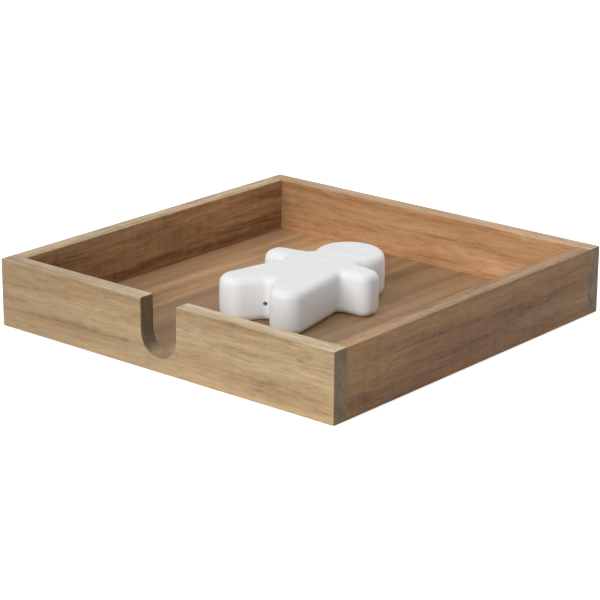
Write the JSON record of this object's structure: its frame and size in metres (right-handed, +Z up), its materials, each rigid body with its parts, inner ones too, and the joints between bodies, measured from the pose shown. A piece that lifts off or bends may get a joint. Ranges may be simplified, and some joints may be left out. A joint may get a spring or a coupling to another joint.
{
  "type": "napkin tray with weight",
  "caption": "Square wooden napkin tray with a rounded finger notch in its front wall and a loose, hollow porcelain gingerbread figure that lies on the napkins as their weight.",
  "frame": {"origin": "middle of the tray's underside, on the table", "axes": "+Z up; -Y towards the front wall with the finger notch; +X to the right seen from that front"},
  "size_m": [0.24, 0.24, 0.0395],
  "materials": {
    "wall_wood": "oiled, fine straight grain along each board",
    "floor_wood_pale": "oiled, straight grain from front to back",
    "floor_wood_mid": "oiled, straight grain from front to back",
    "floor_wood_dark": "oiled, straight grain from front to back",
    "dowel_wood": "plain, fluted, hidden in the joints",
    "porcelain": "white gloss glaze, opaque"
  },
  "bodies": {
    "tray": {"front_wall": "wall_wood", "back_wall": "wall_wood", "left_wall": "wall_wood", "right_wall": "wall_wood", "floor_stave_left": "floor_wood_pale", "floor_stave_mid_left": "floor_wood_dark", "floor_stave_mid_right": "floor_wood_mid", "floor_stave_right": "floor_wood_pale", "dowel_front_left_low": "dowel_wood", "dowel_front_left_high": "dowel_wood", "dowel_front_right_low": "dowel_wood", "dowel_front_right_high": "dowel_wood", "dowel_back_left_low": "dowel_wood", "dowel_back_left_high": "dowel_wood", "dowel_back_right_low": "dowel_wood", "dowel_back_right_high": "dowel_wood"},
    "weight": {"figure_weight": "porcelain"}
  },
  "joints": [
    {"name": "weight_lift", "type": "slide", "parent": "tray", "child": "weight", "axis": [0, 0, 1], "range_m": [0, 0.06]}
  ]
}
